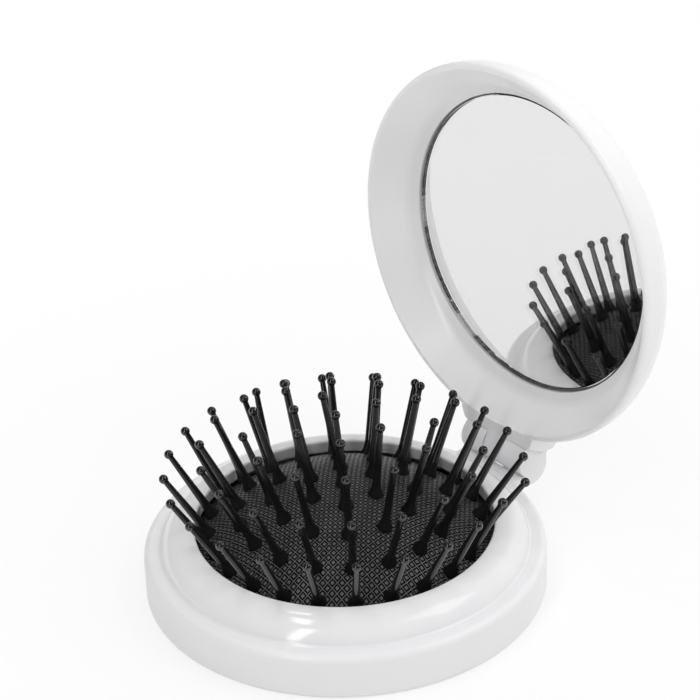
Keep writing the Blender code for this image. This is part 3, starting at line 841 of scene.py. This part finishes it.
def backdrop_light(tree, place):
    """Strength of the backdrop: 1, but less in the studio's dark parts, where a reflection sees them."""
    glossy = add_node(tree, "ShaderNodeLightPath").outputs["Is Glossy Ray"]
    bright = 1.0
    for direction, start, end, depth in STUDIO_PARTS:
        shade = add_ramp(tree, facing(tree, place, direction), start, end, 0.0, depth)
        rest = add_sum(tree, "SUBTRACT", 1.0, add_sum(tree, "MULTIPLY", shade, glossy))
        bright = add_sum(tree, "MULTIPLY", bright, rest)
    return bright


def make_world():
    """Lobes of light for surfaces, and the white backdrop for what is seen."""
    world = bpy.data.worlds.new("studio_world")
    bpy.context.scene.world = world
    world.use_nodes = True
    tree = world.node_tree
    place = add_node(tree, "ShaderNodeTexCoord").outputs["Generated"]
    fill = add_node(tree, "ShaderNodeBackground")
    tree.links.new(lobe_light(tree, place), fill.inputs["Strength"])
    back = tree.nodes["Background"]
    back.inputs["Color"].default_value = (1, 1, 1, 1)
    tree.links.new(backdrop_light(tree, place), back.inputs["Strength"])
    add_blend(tree, seen_share(tree), fill.outputs[0], back.outputs[0], "World Output")


def add_lamp(name, shape, width, length, energy, matrix):
    """Flat lamp that shines along its own -Z."""
    lamp = bpy.data.lights.new(name, "AREA")
    lamp.shape = shape
    lamp.size = width
    lamp.size_y = length
    lamp.energy = energy
    holder = bpy.data.objects.new(name, lamp)
    holder.matrix_world = matrix
    bpy.context.scene.collection.objects.link(holder)
    return holder


def make_panes():
    """Window panes that shine at the object, and whose reflections are its highlights."""
    for number, (direction, along, width, length, radiance) in enumerate(PANES, start=1):
        z = Vector(direction).normalized()
        y = Vector(along)
        y = (y - z * y.dot(z)).normalized()
        turn = Matrix((y.cross(z), y, z)).transposed()
        matrix = Matrix.Translation(z * PANE_DISTANCE + CENTER.translation) @ turn.to_4x4()
        energy = radiance * math.pi * width * length
        add_lamp(f"window_pane_{number}", "RECTANGLE", width, length, energy, matrix)


def make_bounce():
    """Light that the open mirror throws back on the base and the hinge; no ray sees the lamp itself."""
    energy = BOUNCE * math.pi * math.pi * MIRROR_R ** 2
    matrix = OPEN_LID @ Matrix.Translation((0, 0, MIRROR_FACE - BOUNCE_GAP))
    lamp = add_lamp("mirror_bounce", "DISK", 2 * MIRROR_R, 2 * MIRROR_R, energy, matrix)
    lamp.visible_camera = lamp.visible_glossy = lamp.visible_transmission = False


def make_camera():
    """Camera of the photograph."""
    data = bpy.data.cameras.new("photo_camera")
    data.sensor_width = SENSOR
    data.lens = FOCAL_PIXELS / PHOTO_PIXELS * SENSOR
    data.clip_start = 0.01
    data.clip_end = 20
    azimuth, elevation, roll = (math.radians(v) for v in CAMERA_ANGLES)
    back = Vector((math.sin(azimuth) * math.cos(elevation), -math.cos(azimuth) * math.cos(elevation),
                   math.sin(elevation)))
    right = Vector((math.cos(azimuth), math.sin(azimuth), 0))
    up = back.cross(right)
    right, up = (math.cos(roll) * right + math.sin(roll) * up,
                 -math.sin(roll) * right + math.cos(roll) * up)
    distance, shift, rise = CAMERA_PLACE
    place = back * distance * MM + right * shift * MM + up * rise * MM + CENTER.translation
    turn = Matrix((right, up, back)).transposed()
    camera = bpy.data.objects.new("photo_camera", data)
    camera.matrix_world = Matrix.Translation(place) @ turn.to_4x4()
    bpy.context.scene.collection.objects.link(camera)
    bpy.context.scene.camera = camera


def main():
    bpy.context.scene.view_settings.view_transform = "Standard"
    make_camera()
    materials = make_materials()
    make_case(materials)
    make_ears(materials)
    make_collar(materials)
    make_cushion(materials)
    make_pins(materials)
    make_lid(materials)
    make_mirror(materials)
    frame["nodes"]["hinge_pin"].material_slots[0].material = materials["steel"]
    frame["nodes"]["mirror_tape"].material_slots[0].material = materials["foam"]
    make_floor()
    make_world()
    make_panes()
    make_bounce()


main()
